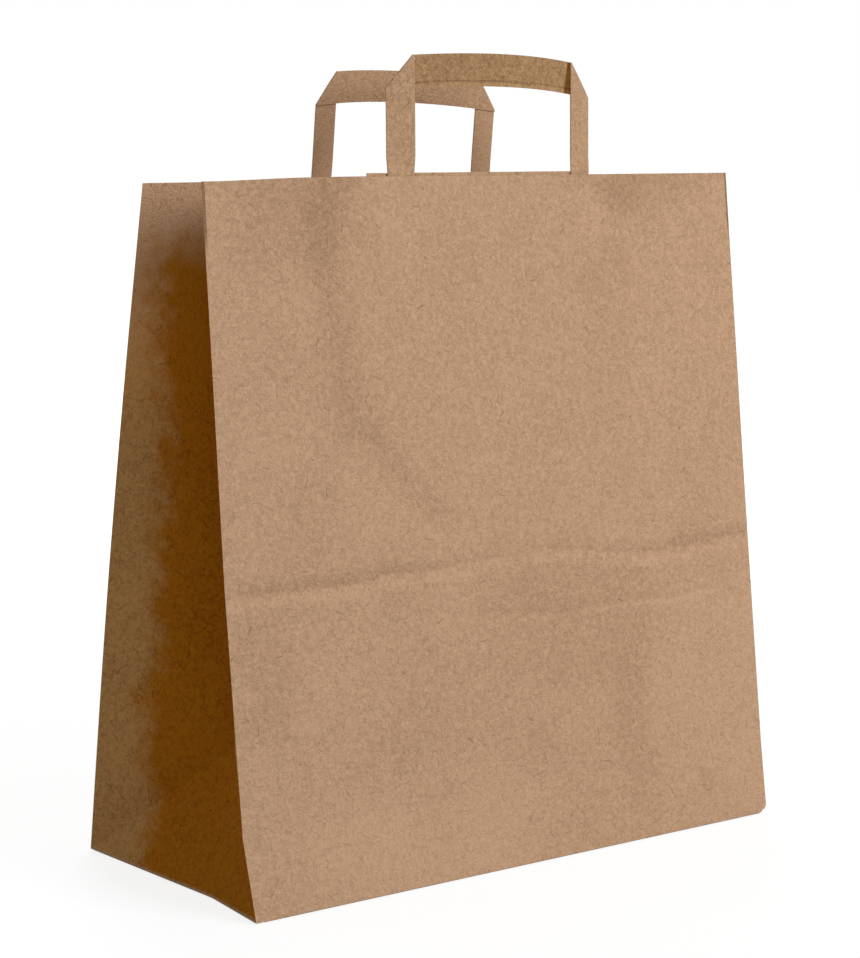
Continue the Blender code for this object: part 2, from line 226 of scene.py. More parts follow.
class KraftSettings(bpy.types.PropertyGroup):
    """Colours of the paper and strengths of its grain"""

    sheet: colour("Sheet", "Plain kraft paper", (0.492, 0.306, 0.186))
    tape: colour("Tape", "The handles' paper", (0.455, 0.283, 0.165))
    mottle: share("Mottle", "Strength of the fine cloudy grain", 1.0)
    fibres: share("Fibres", "Strength of the curled fibres", 1.0)


class StageSettings(bpy.types.PropertyGroup):
    """The studio's lights and floor"""

    fill: share("Fill", "Even light from all round", 0.38)
    key_power: power("Key power", "Of the soft lamp in front", 37.0)
    back_power: power("Back power", "Of the soft lamp behind", 30.0)
    floor: colour("Floor", "Plain pale floor", (0.50, 0.50, 0.50))


def smooth(t):
    """0 below 0, 1 above 1, and t * t * (3 - 2 t) between."""
    t = np.clip(t, 0.0, 1.0)
    return t * t * (3.0 - 2.0 * t)


def ramp(t, low, high):
    """0 up to low, 1 from high on, and a smooth step between."""
    return smooth((t - low) / (high - low))


def bump(distance, half_width):
    """1 at 0, falling smoothly to 0 at half_width on either side."""
    return 1.0 - smooth(np.abs(distance) / half_width)


def tent(t, low, high):
    """Rises from 0 to 1 between 0 and low, stays 1 up to high and falls to 0 at 1."""
    return np.interp(t, (0.0, low, high, 1.0), (0.0, 1.0, 1.0, 0.0))


def stack(x, y, z):
    """Points from three arrays of coordinates that broadcast together."""
    return np.stack(np.broadcast_arrays(x, y, z), axis=-1)


def unit(vectors):
    """Each vector divided by its own length."""
    return vectors / np.linalg.norm(vectors, axis=-1, keepdims=True)


def scaled(factor, vectors):
    """Each vector times its own factor."""
    return np.asarray(factor)[..., None] * vectors


class SheetShape:
    """The folded sheet: front, back, two gussets and the base, as functions of a place across
    and a height along the paper."""

    def __init__(self, sheet, handles):
        self.half_width = sheet.width / 2
        self.half_depth = sheet.depth / 2
        self.length = sheet.panel_length
        self.paper = sheet.thickness
        self.level = 2.5 * sheet.thickness
        self.press = sheet.depth
        self.crease_depth = sheet.crease_depth
        self.front_lean = sheet.front_lean
        self.back_leans = (sheet.back_lean_left, sheet.back_lean_right)
        self.front_top = math.sqrt(self.length**2 - self.front_lean**2)
        self.back_top = self.front_top - BACK_TOP_DROP
        self.glued = handles.glue_length

    def between(self, left, right, x):
        """Runs evenly from the bag's left side to its right side."""
        return left + (right - left) * (x + self.half_width) / (2 * self.half_width)

    def press_place(self, x):
        """The press line's height: low and level on the left, then a step up, and a slow sine
        wave from there to the right, where it sinks again."""
        turn, start = PRESS_WAVE_TURN
        wave = PRESS_WAVE * ramp(x, *PRESS_WAVE_STARTS) * np.sin(turn * x + start)
        middle = ramp(x, *PRESS_RISES) * (1 - ramp(x, *PRESS_SINKS))
        return self.press + wave - PRESS_SAG * (1 - middle)

    def creased(self, x, height):
        """The press line: a soft valley with a fine one in its middle, minus depth * bump each.
        It fades out at both sides and is weaker in the middle of the front."""
        place = height - self.press_place(x)
        end = smooth((self.half_width - np.abs(x)) / 0.012) * (1 - 0.65 * bump(x - 0.01, 0.09))
        soft = (self.crease_depth - FINE_CREASE) * bump(place, CREASE_HALF_WIDTH)
        return -end * (soft + FINE_CREASE * bump(place, FINE_CREASE_HALF_WIDTH))

    def relief(self, x, height, imprint, turn):
        """Press line + fades * (slow wave - the gussets' imprint) + fade * cockles, outwards."""
        calm = smooth((self.length - self.glued - height) / self.press)
        from_side = self.half_width - np.abs(x)
        edges = smooth(from_side / self.half_depth) * smooth(height / KNEE_HEIGHT)
        wave = np.sin(1.1 * math.pi * x / self.half_width + 5.0 * height / self.length)
        out = self.creased(x, height) + edges * calm * (PANEL_WAVE * wave - imprint)
        return out + smooth(from_side / RIPPLE_FADE) * self.ripples(x, height, turn)

    def front_imprint(self, x, height):
        """The left gusset shows above the press line as a winding valley, the right one below it
        as a low step, and a second light fold crosses the right half under the press line."""
        fold = self.half_width - self.half_depth
        winding = -fold - 0.002 - 0.014 * bump(height - 0.298, 0.060)
        winding = winding + 0.055 * smooth((0.235 - height) / 0.085)
        left = IMPRINT_DEPTH * bump(x - winding, IMPRINT_HALF_WIDTH)
        left = left * smooth((height - self.press) / 0.025)
        right = 0.6 * IMPRINT_DEPTH * (1 - smooth((x - fold) / 0.012)) * smooth((x - 0.03) / 0.05)
        right = right * smooth((self.press - height) / 0.03)
        ridge = bump(height - SECOND_FOLD - 0.0012 * np.sin(60.0 * x), 0.0045)
        ridge = ridge * smooth((x + 0.01) / 0.03) * (1 - smooth((x - 0.115) / 0.03))
        return left + right - SECOND_FOLD_RISE * ridge

    def back_imprint(self, x, height):
        """Both gussets show lightly along their whole length: 0.7 * depth * bump around each
        middle fold, which sways by a sine of the height."""
        fold = np.abs(x) - (self.half_width - self.half_depth) - 0.004 * np.sin(21.0 * height + x)
        return 0.7 * IMPRINT_DEPTH * bump(fold, IMPRINT_HALF_WIDTH)

    def ripples(self, across, height, turn):
        """Shallow cockles: three crossed sine waves, flat near the edges and the patches."""
        fade = smooth(height / RIPPLE_FADE)
        fade = fade * smooth((self.length - self.glued - height) / RIPPLE_FADE)
        long = np.sin(150.0 * across + 34.0 * height + turn + 1.4 * np.sin(41.0 * height))
        short = np.sin(93.0 * height - 58.0 * across + 2.0 * turn + np.sin(60.0 * across))
        slow = np.sin(47.0 * across + 71.0 * height + 3.0 * turn)
        return RIPPLE * fade * (0.45 * long + 0.35 * short + 0.6 * slow) / 1.4

    def front(self, x, height):
        """y = foot + lean * share + sink - relief, at x and a height along the paper; the top
        left corner droops."""
        part = height / self.length
        sink = self.between(FRONT_SINK_LEFT, FRONT_SINK_RIGHT, x)
        sink = sink * tent(part, KNEE_HEIGHT / self.length, self.press / self.length)
        out = self.relief(x, height, self.front_imprint(x, height), 0.3)
        y = -self.half_depth + self.front_lean * part + sink - out
        z = self.level + (self.front_top - self.level) * part
        inward, lift = self.rounded(smooth(1 - (self.half_width - x) / CORNER_ROUND), height)
        near = smooth(1 - (self.half_width + x) / 0.060)
        droop = CORNER_DROOP * near * smooth(1 - (self.length - height) / 0.030)
        return stack(x - inward, y, z + lift - droop)

    def rounded(self, near, distance):
        """The front right corner of the foot is worn round: moved up by lift * near * a smooth
        step of the distance from it, and inwards by 0.7 of that."""
        share = near * smooth(1 - distance / CORNER_ROUND)
        return 0.7 * CORNER_LIFT * share, CORNER_LIFT * share

    def back(self, x, height):
        """y = foot - lean * share + bulge + relief, and the lengthwise seam's step."""
        part = height / self.length
        lean = self.between(*self.back_leans, x)
        bulge = BACK_BULGE * np.sin(math.pi * np.minimum(part, 1.0))
        seam = SEAM_STEP * smooth((x - self.half_width + SEAM_FROM_SIDE) / SEAM_RAMP)
        seam = seam * smooth((self.half_width - x) / SEAM_FROM_SIDE * 2)
        out = self.relief(x, height, self.back_imprint(x, height), 2.1)
        y = self.half_depth - lean * part + bulge + out + seam
        return stack(x, y, self.level + (self.back_top - self.level) * part)

    def foot(self, side, y):
        """The base's short edge at y: half the width less a pinch that grows evenly from both
        corners to its peak near the front one."""
        pinch = FOOT_PINCH_LEFT if side < 0 else FOOT_PINCH_RIGHT
        peak = FOOT_PINCH_FROM_FRONT / (2 * self.half_depth)
        place = (y + self.half_depth) / (2 * self.half_depth)
        pulled = np.interp(place, (0.0, peak, 1.0), (0.0, 1.0, 0.0))
        inward, lift = self.rounded(1.0 if side > 0 else 0.0, y + self.half_depth)
        return stack(side * (self.half_width - pinch * pulled) - inward, y, self.level + lift)

    def corners(self, side, height):
        """The points of a side's front and back corner lines at a height."""
        x = side * self.half_width
        return self.front(x, height), self.back(x, height)

    def apex(self, side):
        """The top of the tucked triangle: half the depth away from both corner lines at that
        height, by the law of cosines."""
        front, back = self.corners(side, self.half_depth)
        reach = (back[1] - front[1]) / 2
        rise = front[2] - self.level
        cosine = (reach**2 + rise**2) / (2 * rise * self.half_depth)
        tuck = math.acos(min(1.0, cosine))
        inward = self.half_depth * math.sin(tuck)
        up = self.half_depth * math.cos(tuck)
        return np.array((side * (self.half_width - inward), 0.0, self.level + up))

    def crease_top(self, side):
        """The top of the gusset's middle crease: the middle between both top corners, moved
        inwards and down to half the depth away from each."""
        front, back = self.corners(side, self.length)
        half_gap = np.linalg.norm(front - back) / 2
        reach = math.sqrt(self.half_depth**2 - half_gap**2 - GUSSET_DIP**2)
        return (front + back) / 2 - np.array((side * reach, 0.0, GUSSET_DIP))

    def crease(self, side, height, y):
        """Below the apex a straight line to it from the foot's place y, as the tucked triangle
        has them, and above it the straight middle crease."""
        apex = self.apex(side)
        low = np.clip(height / self.half_depth, 0.0, 1.0)
        triangle = scaled(1 - low, self.foot(side, y)) + scaled(low, apex)
        high = (height - self.half_depth) / (self.length - self.half_depth)
        line = apex + scaled(np.clip(high, 0.0, 1.0), self.crease_top(side) - apex)
        return np.where((height < self.half_depth)[..., None], triangle, line)

    def gusset(self, side, step, height, from_back):
        """The part of a gusset between a corner line, at step 0, and the tucked fold, at 1:
        corner + step * (fold - corner), bowed outwards by half a sine wave."""
        corner = self.corners(side, height)[1 if from_back else 0]
        y = self.half_depth * (1 if from_back else -1)
        fold = self.crease(side, height, y)
        bow = GUSSET_BOW * smooth(height / self.press)
        bow = bow - 0.5 * self.crease_depth * bump(height - self.press, CREASE_HALF_WIDTH)
        turn = 4.0 if from_back else 5.5
        bow = bow + self.ripples(side * 0.2 + 0.075 * step, height, turn)
        outward = np.sin(math.pi * step) * bow * side
        along = corner + scaled(step, fold - corner)
        return along + stack(outward, 0.0, 0.0)


def evenly(*stops):
    """Values that run through the stops: (value, cells up to it), from the first value."""
    out = [np.array([stops[0]])]
    for value, cells in stops[1:]:
        out.append(np.linspace(out[-1][-1], value, cells + 1)[1:])
    return np.concatenate(out)


def laid_flat(points, across, along):
    """A grid of points with its places on the flat sheet, in metres."""
    return points, np.stack(np.broadcast_arrays(across, along), axis=-1)


def make_mesh(name, points, flat, faces):
    """A mesh with its places on the flat sheet as its UV map, shared borders merged and faces
    outwards."""
    mesh = bpy.data.meshes.new(name)
    mesh.from_pydata(points, [], faces)
    order = np.empty(len(mesh.loops), dtype=np.int32)
    mesh.loops.foreach_get("vertex_index", order)
    layer = mesh.uv_layers.new(name="flat_sheet")
    layer.data.foreach_set("uv", flat[order].astype(np.float32).ravel())
    work = bmesh.new()
    work.from_mesh(mesh)
    bmesh.ops.remove_doubles(work, verts=work.verts, dist=DOUBLED)
    bmesh.ops.recalc_face_normals(work, faces=work.faces)
    work.to_mesh(mesh)
    work.free()
    return mesh


def make_object(name, grids, *materials):
    """One mesh object from grids of points."""
    points = np.concatenate([grid.reshape(-1, 3) for grid, _ in grids])
    flat = np.concatenate([place.reshape(-1, 2) for _, place in grids])
    faces = []
    first = 0
    for grid, _ in grids:
        rows, columns = grid.shape[:2]
        corner = np.arange(rows * columns).reshape(rows, columns)[:-1, :-1].ravel() + first
        faces.append(np.stack((corner, corner + 1, corner + columns + 1, corner + columns), 1))
        first += rows * columns
    mesh = make_mesh(name, points.tolist(), flat, np.concatenate(faces).tolist())
    for material in materials:
        mesh.materials.append(material)
    obj = bpy.data.objects.new(name, mesh)
    bpy.context.scene.collection.objects.link(obj)
    return obj


def give_wall(obj, thickness, second_face=0, cut_edge=0):
    """Turns an open sheet into a closed wall, smooth but for its folds and cut edges."""
    wall = obj.modifiers.new("Wall", "SOLIDIFY")
    wall.thickness = thickness
    wall.offset = 0.0
    wall.use_even_offset = True
    wall.use_quality_normals = True
    wall.material_offset = second_face
    wall.material_offset_rim = cut_edge
    bpy.context.view_layer.update()
    evaluated = obj.evaluated_get(bpy.context.evaluated_depsgraph_get())
    finished = bpy.data.meshes.new_from_object(evaluated)
    finished.name = obj.name
    obj.modifiers.clear()
    obj.data = finished
    finished.shade_smooth()
    finished.set_sharp_from_angle(angle=SHARP_ANGLE)


def level_rows(shape):
    """Heights of the rows, closest at the press line and the second fold."""
    near = CREASE_HALF_WIDTH + PRESS_WAVE
    return evenly(
        0.0,
        (CORNER_ROUND, 7),
        (KNEE_HEIGHT, 12),
        (shape.half_depth, 14),
        (SECOND_FOLD - 0.007, 14),
        (SECOND_FOLD + 0.007, 14),
        (shape.press - near - PRESS_SAG, 6),
        (shape.press + near, 32),
        (shape.length - shape.glued, 40),
        (shape.length, 10),
    )


def sheet_grids(shape):
    """The front, the back, both gussets and the base."""
    heights = level_rows(shape)[:, None]
    side = shape.half_width
    near = IMPRINT_HALF_WIDTH + 0.003
    imprint = side - shape.half_depth
    half = evenly(
        0.0,
        (imprint - near, 17),
        (imprint + near, 12),
        (side - 0.020, 9),
        (side - CORNER_ROUND, 5),
        (side, 7),
    )
    seam = (side - SEAM_FROM_SIDE, side - SEAM_FROM_SIDE + SEAM_RAMP)
    across = np.concatenate((-half[:0:-1], half))[None, :]
    back = np.unique(np.round(np.concatenate((across[0], seam)), 7))[None, ::-1]
    start = side + 2 * shape.half_depth
    grids = [
        laid_flat(shape.front(across, heights), across, heights),
        laid_flat(shape.back(back, heights), start + side - back, heights),
    ]
    steps = np.linspace(0.0, 1.0, 15)[None, :]
    foot_y = np.linspace(-shape.half_depth, shape.half_depth, 25)[None, :]
    low = heights[heights[:, 0] <= shape.half_depth + DOUBLED]
    for sign in (-1, 1):
        for from_back in (False, True):
            points = shape.gusset(sign, steps, heights, from_back)
            reach = steps * np.minimum(heights, shape.half_depth)
            place = start - reach if from_back else side + reach
            grids.append(laid_flat(points, sign * place, heights))
        points = shape.crease(sign, low - DOUBLED * (low > 0.01), foot_y)
        narrowing = foot_y * (1 - low / shape.half_depth)
        grids.append(laid_flat(points, sign * (side + shape.half_depth + narrowing), low))
    left, right = (shape.foot(sign, foot_y[0])[:, None, :] for sign in (-1, 1))
    base = left + scaled((across + side) / (2 * side), right - left)
    grids.append(laid_flat(base, across, -(foot_y.T + shape.half_depth)))
    return grids


def flap_mesh(name, shape, front_side, bottom):
    """A glue flap under the base: wide at its fold, slanting ends, then straight."""
    fold = shape.half_depth - FLAP_INSET
    end = shape.half_width - shape.half_depth
    half = [(shape.half_width - CORNER_ROUND, fold), (end, 0.0), (end, -FLAP_OVERLAP)]
    outline = half + [(-x, y) for x, y in half[::-1]]
    count = len(outline)
    points = [(x, -y * front_side, z) for z in (bottom, shape.level) for x, y in outline]
    faces = [tuple(range(count)), tuple(range(2 * count - 1, count - 1, -1))]
    faces += [(i, (i + 1) % count, count + (i + 1) % count, count + i) for i in range(count)]
    return make_mesh(name, points, np.array([(x, -0.3 - y) for x, y, _ in points]), faces)


def join_meshes(obj, meshes):
    """Adds closed shells to an object's mesh."""
    work = bmesh.new()
    work.from_mesh(obj.data)
    for mesh in meshes:
        work.from_mesh(mesh)
        bpy.data.meshes.remove(mesh)
    work.to_mesh(obj.data)
    work.free()
    obj.data.set_sharp_from_angle(angle=SHARP_ANGLE)


class PanelFrame:
    """Places a handle or a patch on a panel: along runs across the panel from the handle's
    middle, up is measured along the paper from the panel's top edge, and inward is the distance
    from the middle of the panel's paper towards the inside of the bag."""

    def __init__(self, shape, handles, turned):
        self.shape = shape
        self.surface = shape.back if turned else shape.front
        self.facing = -1 if turned else 1
        self.centre = handles.back_centre if turned else handles.front_centre
        self.rise = handles.back_rise if turned else handles.front_rise
        self.tilt = BACK_HANDLE_TILT if turned else FRONT_HANDLE_TILT
        self.turns = BACK_HANDLE_TURNS if turned else FRONT_HANDLE_TURNS
        self.outer = handles.width / 2
        self.tape_width = handles.tape_width
        self.inner = self.outer - self.tape_width
        self.tape = handles.thickness
        self.glued = handles.glue_length
        self.tape_offset = shape.paper / 2 + SEAT_GAP + self.tape / 2

    def panel(self, along, up):
        """The panel's own surface, also a little beyond its top edge."""
        return self.surface(self.centre + self.facing * along, self.shape.length + up)

    def axes(self, along):
        """The panel's own directions near its top edge: across, inward and up."""
        step = 0.001
        across = unit(self.panel(along + step, 0.0) - self.panel(along - step, 0.0))
        up = unit(self.panel(along, 0.0) - self.panel(along, -step))
        return across, np.cross(up, across), up

    def lifted(self, along, up):
        """How far a leg that stands turned in its slot holds the tape off the panel: a ramp over
        the leg's width, which grows smoothly up the last stretch under the edge."""
        first, last = (self.tape_width * math.tan(max(turn, 0.0)) for turn in self.turns)
        over_first = np.clip((along + self.outer) / self.tape_width, 0.0, 1.0)
        back = 1 - smooth((along + self.inner) / PATCH_RETURN)
        over_last = np.clip((along - self.inner) / self.tape_width, 0.0, 1.0)
        lift = first * over_first * back + last * over_last
        return lift * smooth((up + TURN_LENGTH) / TURN_LENGTH)

    def inside(self, along, up, inward):
        """panel + inward * the panel's direction towards the inside."""
        return self.panel(along, up) + scaled(inward, self.axes(along)[1])

    def plan(self, along):
        """The handle bowed in plan: a cubic between its legs, straight beyond them."""
        span = self.outer * 2 - self.tape_width
        place = along / span + 0.5
        start, end = (float(self.lifted(side * span / 2, 0.0)) for side in (-1, 1))
        first, last = (math.tan(turn) - (end - start) / span for turn in self.turns)
        near = np.clip(place, 0.0, 1.0)
        inward = span * (first * near * (1 - near) ** 2 - last * near**2 * (1 - near))
        slope = first * (1 - near) * (1 - 3 * near) + last * near * (3 * near - 2)
        turn = np.arctan(slope + (end - start) / span)
        over = (place - near) * span
        across = (near - 0.5) * span + over * np.cos(turn)
        inward = inward + start + (end - start) * near + over * np.sin(turn)
        return across, inward, turn

    def handle(self, along, up, layer):
        """Glued flat under the edge, turned into its bowed plan over the twist's length, and
        straight up along the handle's own lean above."""
        lift = self.lifted(along, np.minimum(up, 0.0))
        glued = self.inside(along, np.minimum(up, 0.0), self.tape_offset + lift + layer)
        bent = smooth((up - PATCH_RISE) / TWIST_LENGTH)
        across, inward, turn = self.plan(along)
        across = (1 - bent) * along + bent * (across - layer * np.sin(turn))
        inward = (1 - bent) * (lift + layer) + bent * (inward + layer * np.cos(turn))
        middle, inside, _ = self.axes(np.array(0.0))
        lean = np.array((0.0, self.facing * math.sin(self.tilt), math.cos(self.tilt)))
        free = self.panel(np.array(0.0), 0.0) + scaled(across, middle)
        free = free + scaled(self.tape_offset + inward, inside) + scaled(up, lean)
        return np.where((up <= 0)[..., None], glued, free)

    def arched(self, along, up):
        """up + arch * (1 - place ** 2) - drop * (place + 1) / 2, growing smoothly above the
        twist: a slow rise to the middle and a fall towards the right leg."""
        place = along * self.facing / self.outer
        lift = HANDLE_ARCH * (1 - place**2) - HANDLE_DROP * (place + 1) / 2
        return up + lift * smooth((up - TWIST_LENGTH) / TWIST_LENGTH)

    def tape_rows(self):
        """The folded tape as rows of two edge points (along, up, layer), from the foot of the
        left leg over both folds to the foot of the right one."""
        low = self.rise - self.tape_width
        behind = self.tape + TAPE_FOLD_GAP
        heights = evenly(
            -self.glued, (-TURN_LENGTH, 6), (0.0, 8), (PATCH_RISE, 2), (0.0107, 12), (low, 14)
        )
        flat = np.zeros_like(heights)
        leg = np.stack((flat - self.outer, heights, flat, flat - self.inner, heights, flat), 1)
        angle = np.linspace(-math.pi / 2, math.pi / 2, 13)
        out = behind / 2 * np.cos(angle) / math.sqrt(2)
        pull = TIP_CHAMFER * np.cos(angle) / math.sqrt(2)
        layer = behind / 2 * (1 + np.sin(angle))
        edge = (-self.outer - out + pull, low + out + pull, layer)
        edge += (-self.inner - out - pull, self.rise + out - pull, layer)
        fold = np.stack(edge, 1)
        left = np.concatenate((leg, fold))
        x = np.linspace(-self.inner, self.inner, 66)
        one = np.ones_like(x)
        strip = np.stack((x, low * one, behind * one, x, self.rise * one, behind * one), 1)
        right = left[::-1] * np.array((-1, 1, 1, -1, 1, 1))
        return np.concatenate((left, strip, right))

    def tape_grid(self):
        """The tape's rows with straight lines between their two edge points, arched and then
        placed; on the flat tape its middle line's length runs along."""
        rows = self.tape_rows()
        first, last = rows[:, None, :3], rows[:, None, 3:]
        width = np.linspace(0.0, 1.0, 11)[None, :, None]
        place = first + (last - first) * width
        along, up, layer = np.moveaxis(place, -1, 0)
        points = self.handle(along, self.arched(along, up), layer)
        middle = points[:, 5]
        run = np.concatenate(([0.0], np.cumsum(np.linalg.norm(np.diff(middle, axis=0), axis=1))))
        return laid_flat(points, width[..., 0] * self.tape_width, (run - run[-1] / 2)[:, None])

    def patch_offset(self, along):
        """How far inward the patch lies: low + (high - low) * a smooth step near each leg."""
        low = self.shape.paper + SEAT_GAP
        high = self.shape.paper + self.tape + 2 * SEAT_GAP
        distance = np.maximum(np.abs(along) - self.outer, self.inner - np.abs(along))
        over = 1 - smooth((np.maximum(distance, 0.0) - SEAT_GAP) / PATCH_RAMP)
        return low + (high - low) * over

    def patch_grid(self):
        """The patch from below the tape's end to a little above the panel's edge."""
        ramp = SEAT_GAP + PATCH_RAMP
        across = evenly(
            -self.outer - PATCH_LONG_MARGIN,
            (-self.outer - ramp, 6),
            (-self.outer, 5),
            (-self.inner, 8),
            (-self.inner + ramp, 5),
            (-self.inner + PATCH_RETURN, 4),
            (self.inner - ramp, 24),
            (self.inner, 5),
            (self.outer, 8),
            (self.outer + PATCH_SHORT_MARGIN, 1),
        )[None, :]
        foot = -self.glued - PATCH_BELOW_TAPE
        levels = evenly(foot, (-TURN_LENGTH, 12), (0.0, 12), (PATCH_RISE, 2))[:, None]
        lift = self.lifted(across, np.minimum(levels, 0.0))
        points = self.inside(across + 0 * levels, levels, self.patch_offset(across) + lift)
        return laid_flat(points, across + self.outer, levels - foot)


class Wire:
    """A shader socket that can be added, multiplied and compared like a number."""

    def __init__(self, maker, socket):
        self.maker = maker
        self.socket = socket

    def math(self, operation, *others):
        """A Math node of an operation on this socket and the others."""
        return self.maker.node("ShaderNodeMath", {"operation": operation}, (self, *others))

    def __add__(self, other):
        return self.math("ADD", other)

    def __sub__(self, other):
        return self.math("SUBTRACT", other)

    def __rsub__(self, other):
        return self.maker.node("ShaderNodeMath", {"operation": "SUBTRACT"}, (other, self))

    def __mul__(self, other):
        return self.math("MULTIPLY", other)

    def __truediv__(self, other):
        return self.math("DIVIDE", other)

    def __abs__(self):
        return self.math("ABSOLUTE")

    __radd__ = __add__
    __rmul__ = __mul__

    def also(self, output):
        """Another output of the same node."""
        return Wire(self.maker, self.socket.node.outputs[output])

    def parts(self):
        """The three numbers of a vector or a colour."""
        first = self.maker.node("ShaderNodeSeparateXYZ", None, (self,))
        return first, first.also(1), first.also(2)

    def ramp(self, low, high):
        """0 at low and 1 at high, with a smooth step between; low may be above high."""
        settings = {"interpolation_type": "SMOOTHSTEP"}
        if low > high:
            return 1.0 - self.ramp(high, low)
        return self.maker.node("ShaderNodeMapRange", settings, (self, low, high, 0.0, 1.0))

    def line(self, place, half_width):
        """1 at a place and 0 half_width away from it."""
        return abs(self - place).ramp(half_width, 0.0)


class Maker:
    """Adds nodes to one node tree."""

    def __init__(self, tree):
        self.tree = tree

    def node(self, kind, settings=None, values=(), output=0):
        """A node of a kind. Its settings go first, then the values or links of its sockets, in
        order or by name."""
        made = self.tree.nodes.new(kind)
        for name, value in (settings or {}).items():
            setattr(made, name, value)
        pairs = values.items() if isinstance(values, dict) else enumerate(values)
        for name, value in pairs:
            if isinstance(value, Wire):
                self.tree.links.new(value.socket, made.inputs[name])
            else:
                made.inputs[name].default_value = value
        return Wire(self, made.outputs[output]) if made.outputs else None

    def noise(self, place, scale, detail=2.0, roughness=0.5, distortion=0.0):
        """A noise pattern, 0.5 on average."""
        values = {"Vector": place, "Scale": scale, "Detail": detail}
        values.update({"Roughness": roughness, "Distortion": distortion})
        return self.node("ShaderNodeTexNoise", {"noise_dimensions": "3D"}, values)

    def mix(self, factor, first, second, blend="MIX"):
        """A colour between two: the factor's 0 gives the first."""
        settings = {"data_type": "RGBA", "clamp_factor": True, "blend_type": blend}
        return self.node("ShaderNodeMix", settings, {0: factor, 6: first, 7: second}, 2)


def new_material(name):
    """A material with an empty tree, its maker, and the object's own coordinates."""
    material = bpy.data.materials.new(name)
    material.use_nodes = True
    material.node_tree.nodes.clear()
    maker = Maker(material.node_tree)
    return material, maker, maker.node("ShaderNodeTexCoord", None, (), 3)


def finish_paper(maker, colour_wire, roughness, height):
    """The paper's shader: matt, with its fine relief as a bump."""
    normal = maker.node(
        "ShaderNodeBump", None, {"Strength": 1.0, "Distance": BUMP_HEIGHT, "Height": height}
    )
    values = {"Base Color": colour_wire, "Roughness": roughness, "Normal": normal}
    values["Specular IOR Level"] = PAPER_SHINE
    shader = maker.node("ShaderNodeBsdfPrincipled", None, values)
    maker.node("ShaderNodeOutputMaterial", None, (shader,))


def paper_roughness(maker, place, least):
    """A roughness from a least value up, in soft patches."""
    return maker.noise(place, 160.0, 2.0) * 0.14 + least


def short_fibres(maker, flat, scale, half_length, half_width):
    """Short bent strokes on the flat paper, one in each cell of a Voronoi pattern, each turned
    and bent its own way: (the stroke, the line beside it, the cell's own number)."""
    settings = {"voronoi_dimensions": "2D", "feature": "F1"}
    cell = maker.node("ShaderNodeTexVoronoi", settings, {"Vector": flat, "Scale": scale}, "Color")
    middle = cell.also("Position")
    offset = maker.node("ShaderNodeVectorMath", {"operation": "SUBTRACT"}, (flat, middle))
    x, y, _ = offset.parts()
    turn, bend, chance = cell.parts()
    turn = turn * (2 * math.pi)
    cosine, sine = turn.math("COSINE"), turn.math("SINE")
    along = x * cosine + y * sine
    beside = y * cosine - x * sine + along * along * ((bend - 0.5) * (0.8 / half_length))
    within = abs(along).ramp(half_length, 0.6 * half_length)
    stroke = abs(beside).ramp(half_width, 0.0) * within
    light = abs(beside - 1.7 * half_width).ramp(half_width, 0.0) * within
    return stroke, light, chance


def kraft_grain(maker, place, flat, kraft):
    """Fine grain, dense embossed curls, scattered fibres, each with a painted highlight on a pale
    line beside it, and rare specks: (how much darker the paper is, as a share; height)."""
    fine = maker.noise(place, FINE_SCALE, 2.0, 0.6) - 0.5
    grain = maker.noise(place, GRAIN_SCALE, 2.0, 0.55, 0.6) - 0.5
    curls = abs(maker.noise(place, CURL_SCALE, 1.0, 0.4, 1.0) - 0.5).ramp(0.0, 0.10)
    cloud = maker.noise(place, CLOUD_SCALE, 3.0, 0.55) - 0.5
    long_stroke, long_highlight, long_chance = short_fibres(maker, flat, *LONG_STROKES)
    stroke, light, chance = short_fibres(maker, flat, *SHORT_STROKES)
    long_chosen = long_chance.ramp(0.36, 0.85)
    chosen = chance.ramp(0.3, 1.0)
    speck = maker.node(
        "ShaderNodeTexVoronoi", {"feature": "F1"}, {"Vector": place, "Scale": SPECK_SCALE}
    )
    speck = speck.ramp(0.09, 0.04) * maker.noise(place, 41.0, 0.0).ramp(0.70, 0.74)
    # the pale line beside each fibre is a painted highlight of its relief
    marks = (long_stroke - 0.4 * long_highlight) * long_chosen * 0.23
    marks = marks + (stroke - 0.8 * light) * chosen * 0.08
    dark = fine * (0.46 * kraft.mottle) + grain * (0.52 * kraft.mottle) + cloud * 0.18
    dark = dark + marks * kraft.fibres + speck * 0.30 - curls * 0.035
    height = fine * 0.35 + grain * 0.60 + curls * 0.20
    height = height - long_stroke * long_chosen * 0.25 - (stroke - light) * chosen * 0.12
    return dark, height


def paper_colour(maker, base, dark):
    """The base colour made darker by a share: a mix of its pale and its deep form."""
    pale, deep = (
        [c * share for c, share in zip(base, shares)] + [1.0]
        for shares in (PALE_SHARES, DEEP_SHARES)
    )
    return maker.mix(dark * MIX_PER_DARK + BASE_MIX, pale, deep)


def soft_patch(across, up, centre, half_size):
    """1 in the middle of an upright ellipse and 0 outside it, a smooth step of the squared
    distance."""
    x = (across - centre[0]) / half_size[0]
    y = (up - centre[1]) / half_size[1]
    return (x * x + y * y).ramp(1.0, 0.1)


